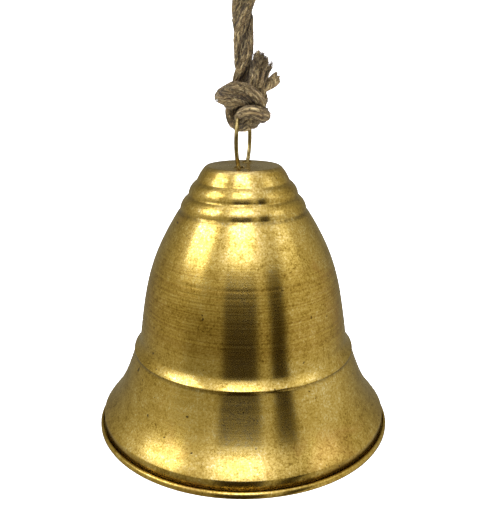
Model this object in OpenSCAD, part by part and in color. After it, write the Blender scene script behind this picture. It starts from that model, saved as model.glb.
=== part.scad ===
// Sheet-metal hanging bell: a spun shell on a wire ring, a clapper on a link, and a jute rope that carries it.
// The origin is where the rope's hanging loop bears on its hook. +Z is up, and the bell hangs along -Z.

/* [Bell shell] */
// Diameter over the rolled edge of the mouth
mouth_d = 270; // [220:1:330]
// Height from the rolled edge to the flat crown
bell_h = 240; // [200:1:290]
// Thickness of the spun sheet
sheet_t = 1.2; // [0.8:0.1:1.6]
// Diameter of the flat crown
crown_d = 66; // [58:1:76]
// Depth of the stepped shoulder below the crown
shoulder_h = 38; // [30:1:46]
// Diameter in the groove under the stepped shoulder
shoulder_d = 111; // [98:1:124]
// Number of rounded steps on the shoulder
shoulder_steps = 3; // [2:1:4]
// How far a shoulder step bulges
step_bulge = 1.8; // [0.8:0.1:2.4]
// Height of the sharp corner under the waist bead
waist_z = 77; // [65:1:90]
// Diameter at the waist bead's lower corner
waist_d = 201; // [185:1:215]
// Height of the waist bead
waist_bead_h = 14; // [10:1:18]
// How far the waist bead bulges
waist_bulge = 1.6; // [0.8:0.1:2.4]
// Depth of the groove under the waist bead
waist_groove = 0.8; // [0.4:0.1:1.2]
// Height of the lip's edge above the mouth
lip_z = 14.6; // [12:0.2:18]
// Outside diameter of the rolled edge's section
curl_d = 7.4; // [6:0.2:9]
// How far the rolled edge stands out from the lip's wall
curl_out = 4; // [3:0.2:5]

/* [Hanging ring] */
// Diameter of the ring along the middle of its wire
ring_d = 56; // [50:1:67]
// Diameter of the ring's wire
ring_wire = 3.5; // [2.5:0.1:4.5]
// Direction of the ring's plane, from the X axis
ring_turn = 78; // [0:1:180]
// Room beside the ring's wire in the two punched holes of the crown
hole_side_play = 2.1; // [1.8:0.1:2.8]
// Room past the ring's wire at each end of a punched hole
hole_end_play = 1.3; // [1.1:0.1:1.8]
// Height of the burr that stands round each hole
burr_h = 0.9; // [0.5:0.1:1.2]
// Wall of the burr
burr_t = 0.8; // [0.5:0.1:1.2]

/* [Clapper] */
// Diameter of the link's wire
link_wire = 2.2; // [1.6:0.1:2.6]
// Distance between the centres of the link's two bends
link_pitch = 9; // [7:0.5:14]
// Gap between the link and the ring's wire
link_clear = 0.3; // [0.2:0.05:0.5]
// Gap between the link and the underside of the crown
seat_clear = 0.25; // [0.2:0.05:0.5]
// Diameter of the clapper's rod
rod_d = 3; // [2.4:0.1:3.6]
// Diameter of the rod's eye along the middle of its wire
eye_d = 8.4; // [7.4:0.2:12]
// Gap between the rod's eye and the link
eye_clear = 0.2; // [0.1:0.05:0.4]
// Distance from the ring's lowest wire down to the middle of the ball
clapper_drop = 172; // [140:1:190]
// Diameter of the ball
ball_d = 38; // [30:1:46]
// Radial clearance of the rod in the ball
ball_clear = 0.05; // [0.02:0.01:0.1]
// Diameter of the collar that holds the ball up
collar_d = 9; // [7:0.5:12]
// Height of that collar
collar_h = 4; // [3:0.5:6]

/* [Rope] */
// Diameter of the rope
rope_d = 17; // [14:0.5:20]
// Depth of the ring's wire below the point where the loop bears
hang_drop = 218; // [210:1:226]
// Width of the knot at the ring
ring_knot_d = 44; // [38:1:50]
// Height of the knot at the ring
ring_knot_h = 42; // [38:1:46]
// Width of the knot under the hanging loop
loop_knot_d = 42; // [38:1:50]
// Height of the knot under the hanging loop
loop_knot_h = 40; // [36:1:46]
// Room round the ring's wire inside the knot
knot_clear = 0.5; // [0.3:0.1:1]
// How far the ring swings in the knot, in degrees each way
ring_swing = 20; // [10:1:30]

/* [Hidden] */
$fn = 64;

// Heights, from the top down
ring_r = ring_d / 2;
ring_z = -hang_drop - ring_r;
ring_low_z = ring_z - ring_r;
crown_under_z = ring_low_z + ring_wire / 2 + link_clear + link_wire + seat_clear;
crown_z = crown_under_z + sheet_t;
mouth_z = crown_z - bell_h;

// The ring's wire goes through the crown at a slant, so each hole is longer than it is wide:
// from the wire's inner side under the sheet to its outer side at the top of the burr
burr_top_z = crown_z + burr_h;
wire_from = sqrt(pow(ring_r - ring_wire / 2, 2) - pow(ring_z - crown_under_z, 2));
wire_to = sqrt(pow(ring_r + ring_wire / 2, 2) - pow(ring_z - burr_top_z, 2));
hole_x = (wire_from + wire_to) / 2;
hole_w = ring_wire + 2 * hole_side_play;
hole_l = wire_to - wire_from + 2 * hole_end_play;

// The link and the clapper
bend_r = ring_wire / 2 + link_clear + link_wire / 2;
link_low_z = ring_low_z - link_pitch - bend_r;
eye_r = eye_d / 2;
eye_top_z = link_low_z + link_wire / 2 + eye_clear + rod_d / 2;
eye_z = eye_top_z - eye_r;
ball_z = ring_low_z - clapper_drop;
ball_r = ball_d / 2;
ball_flat_r = collar_d / 2;
ball_flat_z = ball_z - sqrt(pow(ball_r, 2) - pow(ball_flat_r, 2));
rod_end_z = ball_flat_z - collar_h - 1;

// The rope's course in the XZ plane, as [x, z]
line_route = [
    [-0.8, -206], [-0.8, -197], [0, -189], [0.8, -180], [0.3, -171], [-0.5, -163],
    [-1.2, -154], [-1.5, -145], [-1, -134], [-0.5, -123], [1, -112]
];
loop_route = [
    [6, -98], [10, -87], [16, -76], [23, -64], [29, -51], [33, -38], [34, -26], [32.5, -15],
    [27, -5], [18.5, 3], [9.5, 7.2], [0, 8.5], [-9.5, 7.2], [-18.5, 3], [-27, -5],
    [-32.5, -15], [-34, -26], [-33, -38], [-29, -51], [-23, -64], [-16, -76], [-10, -87], [-6, -98]
];
ring_tail_route = [[4, -208], [12, -202], [20, -195], [27, -189]];
loop_tail_route = [[-12, -108], [-22, -108], [-32, -105], [-41, -99]];
ring_knot_z = -hang_drop;
loop_knot_z = -104;
rope_sides = 10;
tail_spread = 1.25;

// ---------- curves ----------

function unit(v) = v / norm(v);
function left_of(v) = [-v.y, v.x];

// Points on a cubic curve from a to b. The handles h1 and h2 are shares of the way across and down.
function curve(a, b, h1, h2, steps) = [
    for (i = [0 : steps])
        let (
            t = i / steps,
            p1 = [a.x + (b.x - a.x) * h1.x, a.y + (b.y - a.y) * h1.y],
            p2 = [a.x + (b.x - a.x) * h2.x, a.y + (b.y - a.y) * h2.y]
        )
        pow(1 - t, 3) * a + 3 * pow(1 - t, 2) * t * p1 + 3 * (1 - t) * t * t * p2 + t * t * t * b
];

// Points from a to b along an arc-like bulge to the left of the way
function bulge(a, b, high, steps) = [
    for (i = [0 : steps])
        let (t = i / steps)
        a + (b - a) * t + left_of(unit(b - a)) * high * 4 * t * (1 - t)
];

// Points round a circle between two angles
function arc(centre, r, from, to, steps) = [
    for (i = [0 : steps])
        let (t = from + (to - from) * i / steps)
        centre + r * [cos(t), sin(t)]
];

// The line pts moved sideways by d, to its left when d is positive
function beside(pts, d) = [
    for (i = [0 : len(pts) - 1])
        let (
            last = len(pts) - 1,
            to_here = unit(pts[max(i, 1)] - pts[max(i, 1) - 1]),
            from_here = unit(pts[min(i, last - 1) + 1] - pts[min(i, last - 1)]),
            way = unit(left_of(to_here) + left_of(from_here))
        )
        pts[i] + way * d / max(0.6, way * left_of(to_here))
];

// ---------- bell shell ----------

// The outer face of the sheet from the middle of the crown to the cut end of the rolled edge
function shell_line() = let (
    crown_edge = [crown_d / 2, bell_h],
    groove = [shoulder_d / 2, bell_h - shoulder_h],
    step = (groove - crown_edge) / shoulder_steps,
    barrel_top = groove + [1.9, -1.8],
    bead_low = [waist_d / 2, waist_z],
    bead_top = bead_low + [-6.2, waist_bead_h],
    skirt_top = bead_low + [-waist_groove, -0.6],
    curl_mid = [(mouth_d - curl_d) / 2, curl_d / 2],
    lip = [mouth_d / 2 - curl_out, lip_z],
    inside_r = curl_d / 2 - sheet_t
) concat(
    [[0, bell_h]],
    arc(crown_edge + [-2, -2], 2, 85, 40, 3),
    [for (k = [1 : shoulder_steps]) each
        bulge(crown_edge + step * (k - 1) + [k == 1 ? 0.6 : 0.4, k == 1 ? -1.4 : -0.4],
            crown_edge + step * k, k == 1 ? step_bulge / 3 : step_bulge, 8)],
    curve(barrel_top, bead_top + [-0.6, 2], [0.74, 0.37], [0.82, 0.6], 24),
    bulge(bead_top, bead_low, waist_bulge, 8),
    curve(skirt_top, lip, [0.45, 0.74], [0.74, 0.8], 20),
    [lip + [0, -1], [lip.x, curl_d + 0.4]],
    arc(curl_mid, inside_r, 115, 436, 24)
);

// A block with round ends, as long and wide as a punched hole and grown all round
module hole_shape(grown, h) {
    straight = hole_l - hole_w;
    for (way = [-1, 1])
        translate([way * straight / 2, 0, 0]) cylinder(h = h, d = hole_w + 2 * grown);
    translate([-straight / 2, -hole_w / 2 - grown, 0]) cube([straight, hole_w + 2 * grown, h]);
}

module burr() {
    difference() {
        hole_shape(burr_t, burr_h + sheet_t / 2);
        translate([0, 0, -1]) hole_shape(0, burr_h + sheet_t + 2);
    }
}

module bell_shell() {
    outside = shell_line();
    inside = beside(outside, -sheet_t);
    // On the axis the inner line starts straight below the outer one
    under = concat([[0, bell_h - sheet_t]], [for (i = [1 : len(inside) - 1]) inside[i]]);
    back = [for (i = [len(under) - 1 : -1 : 0]) under[i]];
    color("goldenrod") {
        difference() {
            translate([0, 0, mouth_z])
                rotate_extrude($fn = 96)
                    polygon(concat(outside, back));
            for (way = [-1, 1])
                rotate([0, 0, ring_turn])
                    translate([way * hole_x, 0, crown_under_z - 1])
                        hole_shape(0, sheet_t + 2);
        }
        for (way = [-1, 1])
            rotate([0, 0, ring_turn])
                translate([way * hole_x, 0, crown_z - sheet_t / 2])
                    burr();
    }
}

// ---------- hanging ring ----------

module hanging_ring() {
    color("darkgoldenrod")
        rotate([0, 0, ring_turn])
            translate([0, 0, ring_z])
                rotate([90, 0, 0])
                    rotate_extrude($fn = 96)
                        translate([ring_r, 0])
                            circle(d = ring_wire);
}

// ---------- clapper ----------

// Half of a wire bend, open downwards, in the XZ plane
module bend() {
    rotate([90, 0, 0])
        rotate_extrude(angle = 180)
            translate([bend_r, 0])
                circle(d = link_wire, $fn = 32);
}

module clapper_link() {
    color("dimgray")
        rotate([0, 0, ring_turn + 90])
            translate([0, 0, ring_low_z]) {
                bend();
                for (way = [-1, 1])
                    translate([way * bend_r, 0, -link_pitch])
                        cylinder(h = link_pitch, d = link_wire, $fn = 32);
                translate([0, 0, -link_pitch]) mirror([0, 0, 1]) bend();
            }
}

module clapper_rod() {
    color("dimgray") {
        rotate([0, 0, ring_turn])
            translate([0, 0, eye_z])
                rotate([90, 0, 0])
                    rotate_extrude()
                        translate([eye_r, 0])
                            circle(d = rod_d, $fn = 32);
        translate([0, 0, rod_end_z])
            cylinder(h = eye_z - eye_r - rod_end_z, d = rod_d, $fn = 32);
    }
}

module clapper_ball() {
    color("darkslategray")
        difference() {
            translate([0, 0, ball_z]) sphere(r = ball_r);
            translate([0, 0, ball_flat_z - ball_r]) cylinder(h = ball_r, r = ball_r);
            translate([0, 0, ball_z - ball_r - 1])
                cylinder(h = ball_d + 2, r = rod_d / 2 + ball_clear);
        }
}

module clapper_collar() {
    color("gray")
        translate([0, 0, ball_flat_z - collar_h])
            difference() {
                cylinder(h = collar_h, d = collar_d);
                translate([0, 0, -1]) cylinder(h = collar_h + 2, d = rod_d);
            }
}

// ---------- rope ----------

// A round tube along a course in the XZ plane; its radius grows from r1 to r2
module rope_tube(route, r1, r2) {
    last = len(route) - 1;
    points = [
        for (i = [0 : last])
            let (
                way = unit(route[min(i + 1, last)] - route[max(i - 1, 0)]),
                aside = left_of(way),
                r = r1 + (r2 - r1) * i / last
            )
            for (k = [0 : rope_sides - 1])
                let (turn = 360 * k / rope_sides, out = r * cos(turn))
                [route[i].x + aside.x * out, r * sin(turn), route[i].y + aside.y * out]
    ];
    walls = [
        for (i = [0 : last - 1])
            for (k = [0 : rope_sides - 1])
                let (
                    a = i * rope_sides + k,
                    b = i * rope_sides + (k + 1) % rope_sides
                )
                each [[a, b, a + rope_sides], [b, b + rope_sides, a + rope_sides]]
    ];
    first_cap = [for (k = [rope_sides - 1 : -1 : 0]) k];
    last_cap = [for (k = [0 : rope_sides - 1]) last * rope_sides + k];
    polyhedron(points = points, faces = concat(walls, [first_cap, last_cap]));
}

// A knot's round body, an egg of revolution
module knot_body(d, h) {
    rotate_extrude()
        polygon(concat(
            [[0, h / 2]],
            [for (t = [80 : -10 : -80]) [d / 2 * pow(cos(t), 0.7), h / 2 * sin(t)]],
            [[0, -h / 2]]
        ));
}

// The room that the ring's wire sweeps in the knot as the ring swings about its top
module ring_room() {
    room = ring_wire / 2 + knot_clear;
    deep = ring_knot_h;
    wide = room / cos(ring_swing);
    flare = wide + deep * tan(ring_swing);
    rotate([0, 0, ring_turn])
        intersection() {
            translate([0, 0, ring_z])
                rotate([90, 0, 0])
                    difference() {
                        cylinder(h = 2 * ring_knot_d, r = ring_r + room + 2, center = true, $fn = 96);
                        cylinder(h = 3 * ring_knot_d, r = ring_r - room, center = true, $fn = 96);
                    }
            translate([-ring_knot_d, 0, -hang_drop])
                rotate([90, 0, 90])
                    linear_extrude(height = 2 * ring_knot_d)
                        polygon([[-wide, room], [wide, room], [wide, 0], [flare, -deep], [-flare, -deep], [-wide, 0]]);
        }
}

module hanging_loop() {
    color("tan") rope_tube(loop_route, rope_d / 2, rope_d / 2);
}

module loop_knot() {
    color("tan") translate([0, 0, loop_knot_z]) knot_body(loop_knot_d, loop_knot_h);
}

module loop_tail() {
    color("tan") rope_tube(loop_tail_route, rope_d / 2, rope_d / 2 * tail_spread);
}

module rope_line() {
    color("tan")
        difference() {
            rope_tube(line_route, rope_d / 2, rope_d / 2);
            ring_room();
        }
}

module ring_knot() {
    color("tan")
        difference() {
            translate([0, 0, ring_knot_z]) knot_body(ring_knot_d, ring_knot_h);
            ring_room();
        }
}

module rope_tail() {
    color("tan")
        difference() {
            rope_tube(ring_tail_route, rope_d / 2, rope_d / 2 * tail_spread);
            ring_room();
        }
}

hanging_loop();
loop_knot();
loop_tail();
rope_line();
ring_knot();
rope_tail();
hanging_ring();
bell_shell();
clapper_link();
clapper_rod();
clapper_ball();
clapper_collar();
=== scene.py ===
# %% [markdown]
# # A spun sheet-metal bell on a jute rope
#
# A thin bell of antiqued gold sheet hangs from a wire ring. A thick jute rope is knotted through the ring,
# and a clapper hangs inside on a small wire link. We start from a frame of plain working solids that already
# has the right sizes and joints, and dress every part of it: the shapes are worked out as arrays with numpy,
# and the finishes are built from shader nodes.

# %% Load the frame
import math

import bpy
import numpy as np
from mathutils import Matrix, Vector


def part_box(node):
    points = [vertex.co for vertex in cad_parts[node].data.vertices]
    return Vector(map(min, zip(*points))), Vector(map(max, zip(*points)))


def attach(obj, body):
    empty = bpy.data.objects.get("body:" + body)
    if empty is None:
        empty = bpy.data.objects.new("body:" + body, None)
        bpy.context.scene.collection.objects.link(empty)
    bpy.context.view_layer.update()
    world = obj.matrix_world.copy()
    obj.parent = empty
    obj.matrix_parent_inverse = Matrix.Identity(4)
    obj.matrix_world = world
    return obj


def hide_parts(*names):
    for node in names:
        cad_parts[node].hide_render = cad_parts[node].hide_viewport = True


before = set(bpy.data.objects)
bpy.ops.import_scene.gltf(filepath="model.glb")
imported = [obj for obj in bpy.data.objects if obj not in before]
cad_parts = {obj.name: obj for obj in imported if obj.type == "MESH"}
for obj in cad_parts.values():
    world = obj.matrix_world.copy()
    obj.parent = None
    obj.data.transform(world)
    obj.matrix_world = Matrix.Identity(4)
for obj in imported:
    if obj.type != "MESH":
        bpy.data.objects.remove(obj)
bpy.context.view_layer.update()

MM = 0.001
print("nodes:", sorted(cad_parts))

# %% [markdown]
# ## Where things are
#
# The places are read from the frame, so the looks follow the working solids. The ring gives the point where
# the rope holds it and the line that its wire follows. The shell gives the height of the mouth. All lengths
# are in metres.

# %% Read the main places
ring_low, ring_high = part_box("hanging_ring")
shell_low, shell_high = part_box("bell_shell")
RING_WIRE = 3.5 * MM
RING_TURN = math.radians(78)
HOLD = np.array([0, 0, ring_high.z - RING_WIRE / 2])
RING_R = (ring_high.z - ring_low.z - RING_WIRE) / 2
RING_MID = HOLD - [0, 0, RING_R]
MOUTH_Z = shell_low.z
print("rope holds the ring at", HOLD.round(4), "ring radius", round(RING_R, 4))
print("mouth at", round(MOUTH_Z, 4), "mouth radius", round(shell_high.x, 4))

# %% [markdown]
# ## The camera
#
# The bell is seen from a little above, from close by, so the steps of its shoulder show as open curves.
# A camera that is close to a round object sees less than half of it, which is why its distance matters as
# much as its lens.

# %% Place the camera
CAMERA_BACK = 0.5647
CAMERA_ABOVE_HOLD = 0.0372
CAMERA_DOWN = 17.1
camera_data = bpy.data.cameras.new("camera")
camera_data.lens = 45.26
camera_data.sensor_width = 36
camera_data.shift_x = -0.0063
camera_data.clip_start = 0.01
camera = bpy.data.objects.new("camera", camera_data)
bpy.context.collection.objects.link(camera)
camera.location = (0, -CAMERA_BACK, HOLD[2] + CAMERA_ABOVE_HOLD)
camera.rotation_euler = (math.radians(90 - CAMERA_DOWN), 0, 0)
bpy.context.scene.camera = camera
bpy.context.scene.view_settings.view_transform = "Standard"
print("camera at", [round(v, 3) for v in camera.location])

# %% [markdown]
# ## Surfaces as arrays
#
# Nearly every piece here is a skin over a row of rings: a rope, a wire, a turned ball. If the points are
# an array (rings, sides, 3), the faces follow from the numbering alone, so one helper makes them all. The
# ends are closed with a fan round a middle point, and a closed loop joins its last ring to its first.

# %% Helpers that turn arrays into meshes
NO_TRIS = np.zeros((0, 3), int)


def ring_faces(rings, sides, closed=False):
    """Faces between neighbouring rings of a skin: each joins side k to k+1 on one ring and the next."""
    count = rings if closed else rings - 1
    row = np.arange(count)[:, None]
    side = np.arange(sides)[None, :]
    after = (side + 1) % sides
    below = ((row + 1) % rings) * sides
    corners = (row * sides + side, row * sides + after, below + after, below + side)
    return np.stack(np.broadcast_arrays(*corners), -1).reshape(-1, 4)


def new_object(name, points, faces):
    """A smooth mesh object in the scene."""
    mesh = bpy.data.meshes.new(name)
    mesh.from_pydata(points.tolist(), [], faces)
    mesh.shade_smooth()
    made = bpy.data.objects.new(name, mesh)
    bpy.context.collection.objects.link(made)
    return made


def mesh_piece(name, points, quads, tris=NO_TRIS, ridge=None, lay=None):
    """An object from arrays of points, four-sided faces and three-sided faces. A rope piece also has the
    height of its ridges and its lay coordinates, one of each for a point.
    Its faces are turned outwards: the volume under them, summed as signed tetrahedra, has to be positive."""
    points = np.asarray(points, float).reshape(-1, 3)
    a, b, c, d = (points[quads[:, i]] for i in range(4))
    volume = np.einsum("ij,ij->", a, np.cross(b, c)) + np.einsum("ij,ij->", a, np.cross(c, d))
    a, b, c = (points[tris[:, i]] for i in range(3))
    volume += np.einsum("ij,ij->", a, np.cross(b, c))
    if volume < 0:
        quads = quads[:, ::-1]
        tris = tris[:, ::-1]
    piece = new_object(name, points, quads.tolist() + tris.tolist())
    mesh = piece.data
    if ridge is not None:
        layer = mesh.attributes.new("ridge", "FLOAT", "POINT")
        layer.data.foreach_set("value", np.asarray(ridge, np.float32))
        corner = np.zeros(len(mesh.loops), int)
        mesh.loops.foreach_get("vertex_index", corner)
        layer = mesh.uv_layers.new(name="lay")
        layer.data.foreach_set("uv", np.asarray(lay, np.float32)[corner].ravel())
    return piece


def belongs(piece, body, slot, *nodes):
    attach(piece, body)
    if nodes:
        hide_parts(*nodes)
    print(piece.name, len(piece.data.polygons), "faces")


def closed_tubes(rings, ends):
    """Points, quads and end fans of many tubes. The rings are an array (tubes, rings, sides, 3), and ends has
    the two points of each tube, (tubes, 2, 3), that its fans meet in."""
    count, rows, sides, _ = rings.shape
    block = rows * sides
    points = np.concatenate([rings.reshape(count, block, 3), ends], 1).reshape(-1, 3)
    starts = (np.arange(count) * (block + 2))[:, None, None]
    side = np.arange(sides)
    after = (side + 1) % sides
    low = np.stack([after, side, np.full(sides, block)], -1)
    high = np.stack([block - sides + side, block - sides + after, np.full(sides, block + 1)], -1)
    quads = (ring_faces(rows, sides)[None] + starts).reshape(-1, 4)
    return points, quads, (np.concatenate([low, high])[None] + starts).reshape(-1, 3)


def skin(rings):
    """One tube whose rings are an array (rings, sides, 3)."""
    return closed_tubes(rings[None], rings[None, [0, -1]].mean(2))


def join(parts):
    """Joins several (points, quads, tris) into one set of arrays."""
    points, quads, tris = zip(*parts)
    starts = np.cumsum([0] + [len(p) for p in points])
    moved = [np.concatenate([f + start for f, start in zip(faces, starts)]) for faces in (quads, tris)]
    return np.concatenate(points), *moved


def unit(v):
    """Vectors scaled to length one."""
    return v / np.maximum(np.linalg.norm(v, axis=-1, keepdims=True), 1e-12)


def waves(seed, *axes, count=5, low=1.0, high=4.0):
    """A smooth random surface: the mean of several sine waves of random direction over the given axes."""
    draw = np.random.default_rng(seed)
    total = 0
    for _ in range(count):
        phase = draw.uniform(0, 2 * np.pi)
        total = total + np.sin(sum(a * draw.uniform(low, high) * draw.choice([-1, 1]) for a in axes) + phase)
    return total / count


print("helpers ready")

# %% [markdown]
# ## The course of the rope
#
# The rope starts at a frayed end, makes a half hitch round the ring and round itself, runs straight up,
# goes through a second knot, round a hanging loop and back into that knot, and ends frayed again. It is one
# line, so the three strands are laid once along all of it and then cut into pieces, and they meet exactly
# where one piece ends and the next starts.

# %% The rope's line, in millimetres from the point where it holds the ring, then in metres
tail_to_standing = [
    (11.5, -9, 19.5), (11.5, -6.5, 12), (11.5, -5, 6), (10.5, -10, 5), (7.5, -14.5, 7.5), (2, -16.5, 9.8),
    (-4, -15.5, 10), (-10.2, -10, 8.4), (-13, -1.5, 7), (-10.2, 8, 7.6), (-3, 13.5, 8.5),
    (6, 12.5, 7), (10.8, 6.5, 3.6), (12, -2, -0.2), (11.9, -12.4, -6), (9.4, -17.5, -6.8),
    (4.8, -18.5, -6.5), (1, -11, -11.8), (-4.5, 0, -12.3), (-6.5, 3.5, -8.5), (-7, 5, -2), (-3.5, 3.5, 5),
]
line_route = [
    (-0.8, -206), (-0.8, -197), (0, -189), (0.8, -180), (0.3, -171), (-0.5, -163),
    (-0.5, -154), (0.2, -145), (0.6, -134), (0.8, -123), (1.5, -112),
]
loop_route = [
    (6, -98), (10, -87), (16, -76), (23, -64), (29, -51), (33, -38), (34, -26), (32.5, -15),
    (27, -5), (18.5, 3), (9.5, 7.2), (0, 8.5), (-9.5, 7.2), (-18.5, 3), (-27, -5),
    (-32.5, -15), (-34, -26), (-33, -38), (-29, -51), (-23, -64), (-16, -76), (-10, -87), (-6, -98),
]
loop_hitch = [
    (1, 12, -100), (12, 5, -99), (10, -10, -99), (-3, -14.5, -101), (-14, -5, -103), (-10, 10, -106),
    (3, 14.5, -109), (14, 4, -111), (9, -10, -112), (-4, -14, -112), (-15, -9, -110), (-24, -4, -107),
    (-31, -1, -104),
]
ROPE_D = 17 * MM
STEP = 0.9 * MM


def course(points, step):
    """A smooth line through the points, with rings at even steps along it. Between two points it is a cubic
    whose slope at each point is half the way between the point's neighbours."""
    p = np.asarray(points, float)
    p = np.concatenate([2 * p[:1] - p[1:2], p, 2 * p[-1:] - p[-2:-1]])
    t = np.linspace(0, len(p) - 3 - 1e-9, 60 * (len(p) - 3))
    i = t.astype(int)
    u = (t - i)[:, None]
    a, b, c, d = p[i], p[i + 1], p[i + 2], p[i + 3]
    line = b + 0.5 * u * (c - a + u * (2 * a - 5 * b + 4 * c - d + u * (3 * (b - c) + d - a)))
    run = np.concatenate([[0], np.cumsum(np.linalg.norm(np.diff(line, axis=0), axis=1))])
    even = np.linspace(0, run[-1], int(round(run[-1] / step)) + 1)
    return np.stack([np.interp(even, run, line[:, k]) for k in range(3)], -1)


def carried_frame(line):
    """Two directions across a line at every ring, turned as little as possible from one ring to the next."""
    along = unit(np.gradient(line, axis=0))
    side = np.zeros_like(line)
    side[0] = unit(np.cross(along[0], [0.3, 1, 0.2]))
    for i in range(1, len(line)):
        side[i] = unit(side[i - 1] - along[i] * np.dot(side[i - 1], along[i]))
    return side, np.cross(along, side)


hitch = np.array(tail_to_standing) * MM + HOLD
line_points, loop_points = (np.insert(route, 1, 0, axis=1) * MM for route in (line_route, loop_route))
wrap_points = np.array(loop_hitch) * MM
ROPE = course(np.concatenate([hitch, line_points, loop_points, wrap_points]), STEP)
ROPE_SIDE, ROPE_OVER = carried_frame(ROPE)


def across(ring, angle):
    """The direction square to the rope's line at a ring, at an angle round it."""
    return np.cos(angle)[..., None] * ROPE_SIDE[ring] + np.sin(angle)[..., None] * ROPE_OVER[ring]


def ring_near(point):
    """The number of the rope's ring nearest a point of its line."""
    return int(np.argmin(np.linalg.norm(ROPE - point, axis=1)))


KNOT_TOP = ring_near(line_points[0])
LOWER_TURN = ring_near(hitch[15])
LOOP_END = ring_near(loop_points[-1])
print("rope:", len(ROPE), "rings,", round((len(ROPE) - 1) * STEP, 3), "m in all")

# %% [markdown]
# ## Three strands of yarn
#
# A laid rope is three strands twisted round each other, and each strand is a bundle of yarns twisted the
# other way. One tube with a painted twist would stay flat at its edges. Here each strand is its own tube,
# and its radius rises and falls round it, once for each yarn. The height of that ripple is kept as an
# attribute, so that the finish can paint shade into the grooves.

# %% Lay the strands
STRAND_R = 4.15 * MM
STRAND_OUT = 3.95 * MM
LAY_LENGTH = 88 * MM
YARNS = 8
YARN_LENGTH = 60 * MM
SIDES = 40
LAY_UNIT = 0.02
SWELLING = [
    (0, 1.0), (6, 1.05), (16, 1.15), (38, 1.18), (50, 1.29), (62, 1.27), (76, 1.15), (LOWER_TURN - 14, 1.28),
    (LOWER_TURN, 1.36), (LOWER_TURN + 12, 1.14), (LOWER_TURN + 26, 1.0), (KNOT_TOP + 35, 1.0),
    (KNOT_TOP + 80, 1.18), (KNOT_TOP + 110, 1.05), (LOOP_END - 20, 1.0), (LOOP_END + 10, 0.93),
]


def thickness(rings):
    """How thick the rope is at a ring: it swells in the turns of the hitch and a little way above it, and is
    squeezed in the upper knot."""
    return np.interp(rings, *zip(*SWELLING))


def strand_turn(k, rings):
    """The angle of strand k round the rope's line: once round in a lay length, with a slight wander."""
    run = rings * STEP
    return 2 * np.pi * (run / LAY_LENGTH + k / 3) + 0.3 * waves(40 + k, run / MM, low=0.02, high=0.09)


def strand_middle(k, rings):
    """The middle line of strand k, which circles the rope's line."""
    return ROPE[rings] + (STRAND_OUT * thickness(rings))[..., None] * across(rings, strand_turn(k, rings))


def strand(k, first, last):
    """One strand of the rope between two rings, with the height of its ridges and its lay coordinates. The
    ridge height is less where the strand faces the other strands, which gives painted shade there and in the
    yarns' grooves. Its yarns ripple its radius, and each swells and thins on its own along its way."""
    rings = np.arange(first, last + 1)
    run = (rings * STEP)[:, None]
    round_it = np.linspace(-np.pi, np.pi, SIDES, endpoint=False)[None, :]
    angle = strand_turn(k, rings)[:, None] + round_it
    yarn = YARNS / 2 * (round_it + 2 * np.pi * run / YARN_LENGTH)
    yarn = yarn + 0.6 * waves(50 + k, run / MM, round_it, low=0.08, high=0.35)
    ripple = np.abs(np.cos(yarn)) ** 0.7
    swell = 1 + 0.08 * waves(60 + k, run / MM, round_it, low=0.08, high=0.5)
    coarse = 0.06 * waves(65 + k, run / MM, 3 * round_it, count=7, low=0.15, high=1.1)
    fine = 0.035 * waves(70 + k, run / MM, 7 * round_it, count=7, low=0.5, high=2.2)
    radius = STRAND_R * thickness(rings)[:, None] * ((0.74 + 0.30 * ripple) * swell + coarse + fine)
    points = strand_middle(k, rings)[:, None] + radius[..., None] * across(rings[:, None], angle)
    lay = np.stack(np.broadcast_arrays(round_it / (2 * np.pi) + k, run / LAY_UNIT), -1)
    # The ridge value carries painted shade: it is low in the yarns' grooves and on the sides that face the
    # other strands.
    outward = np.clip(2.2 * np.cos(round_it) - 0.9, 0, 1)
    return points, ripple * (0.25 + 0.75 * outward), lay


def rope_piece(name, first, last, *nodes):
    """Three strands as one mesh object that rides on the rope."""
    parts, grooves, lays = [], [], []
    for k in range(3):
        rings, ripple, lay = strand(k, first, last)
        parts.append(skin(rings))
        grooves.append(np.append(ripple, [0.5, 0.5]))
        lays.append(np.concatenate([lay.reshape(-1, 2), lay[[0, -1], 0]]))
    piece = mesh_piece(name, *join(parts), np.concatenate(grooves), np.concatenate(lays))
    belongs(piece, "rope", "jute_rope", *nodes)
    return piece


rope = rope_piece("rope", KNOT_TOP, LOOP_END, "rope_line", "hanging_loop")
ring_hitch = rope_piece("ring_hitch", 0, KNOT_TOP, "ring_knot")
loop_wrap = rope_piece("loop_wrap", LOOP_END, len(ROPE) - 1, "loop_knot")

# %% [markdown]
# ## Frayed ends and stray fibres
#
# Both ends of the rope are cut and have opened into a broom of yarns. Each yarn is a thin tube on its own
# curve from the rope's last ring to a place near the cut, and every tip opens once more into fine fibres.
# Hundreds of such tubes are worked out as one array, with only a few sides each.

# %% Many thin tubes at once
def many_tubes(lines, radii, sides):
    """Tubes along lines (tubes, rings, 3) with radii (tubes, rings), closed to a point at each end. A ring is
    a circle across its line: one direction is square to the line and a fixed slant, the other to both."""
    along = unit(np.gradient(lines, axis=1))
    slant = unit(np.cross(along, np.array([0.31, 0.17, 0.93]) + 0 * along))
    over = np.cross(along, slant)
    a = np.linspace(0, 2 * np.pi, sides, endpoint=False)[:, None]
    out = np.cos(a) * slant[:, :, None] + np.sin(a) * over[:, :, None]
    return closed_tubes(lines[:, :, None] + radii[:, :, None, None] * out, lines[:, [0, -1]])


def bent_lines(start, leave, arrive, end, rings):
    """Cubic curves, one for each row: from start, leaving towards leave, arriving from arrive, to end."""
    t = np.linspace(0, 1, rings)[None, :, None]
    s = 1 - t
    four = [v[:, None] for v in (start, leave, arrive, end)]
    return s**3 * four[0] + 3 * s * s * t * four[1] + 3 * s * t * t * four[2] + t**3 * four[3]


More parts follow.
